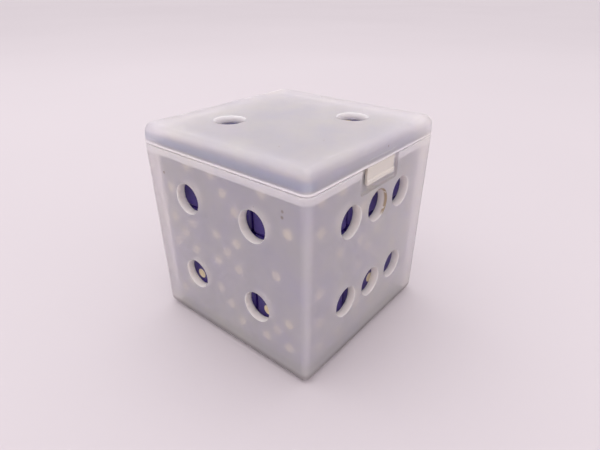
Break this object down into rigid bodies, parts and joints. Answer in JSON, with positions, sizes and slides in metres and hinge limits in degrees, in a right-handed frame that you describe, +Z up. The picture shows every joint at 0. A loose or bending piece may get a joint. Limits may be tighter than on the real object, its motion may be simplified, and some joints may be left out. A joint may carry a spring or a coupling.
{
  "type": "dice storage cube",
  "caption": "Dice-shaped box of frosted plastic with drilled spots and a hinged snap lid, packed with a block of spotted dice.",
  "frame": {"origin": "middle of the case's underside, on the surface it stands on", "axes": "+Z up towards the lid, -Y out of the latch face with six spots, +Y out of the hinge face, +X out of the face with three spots"},
  "size_m": [0.0546, 0.0558, 0.0558],
  "materials": {
    "frosted_plastic": "milky, translucent, finely frosted moulded polypropylene",
    "die_plastic": "polished deep indigo with cream painted spots"
  },
  "bodies": {
    "case": {"case_body": "frosted_plastic", "living_hinge": "frosted_plastic", "die_low_front_left": "die_plastic", "die_low_front_inner": "die_plastic", "die_low_front_right": "die_plastic", "die_low_centre_left": "die_plastic", "die_low_centre_inner": "die_plastic", "die_low_centre_right": "die_plastic", "die_low_back_left": "die_plastic", "die_low_back_inner": "die_plastic", "die_low_back_right": "die_plastic", "die_middle_front_left": "die_plastic", "die_middle_front_inner": "die_plastic", "die_middle_front_right": "die_plastic", "die_middle_centre_left": "die_plastic", "die_middle_centre_inner": "die_plastic", "die_middle_centre_right": "die_plastic", "die_middle_back_left": "die_plastic", "die_middle_back_inner": "die_plastic", "die_middle_back_right": "die_plastic", "die_high_front_left": "die_plastic", "die_high_front_inner": "die_plastic", "die_high_front_right": "die_plastic", "die_high_centre_left": "die_plastic", "die_high_centre_inner": "die_plastic", "die_high_centre_right": "die_plastic", "die_high_back_left": "die_plastic", "die_high_back_inner": "die_plastic", "die_high_back_right": "die_plastic"},
    "lid": {"case_lid": "frosted_plastic"},
    "latch": {"latch_tab": "frosted_plastic"}
  },
  "joints": [
    {"name": "lid_hinge", "type": "hinge", "parent": "case", "child": "lid", "pos_m": [0, 0.0277, 0.05055], "axis": [-1, 0, 0], "range_deg": [0, 180], "deforming": ["living_hinge"]},
    {"name": "latch_flex", "type": "hinge", "parent": "lid", "child": "latch", "pos_m": [0, -0.0273, 0.0505], "axis": [-1, 0, 0], "range_deg": [0, 12], "stiffness_Nm_per_rad": 0.02}
  ]
}
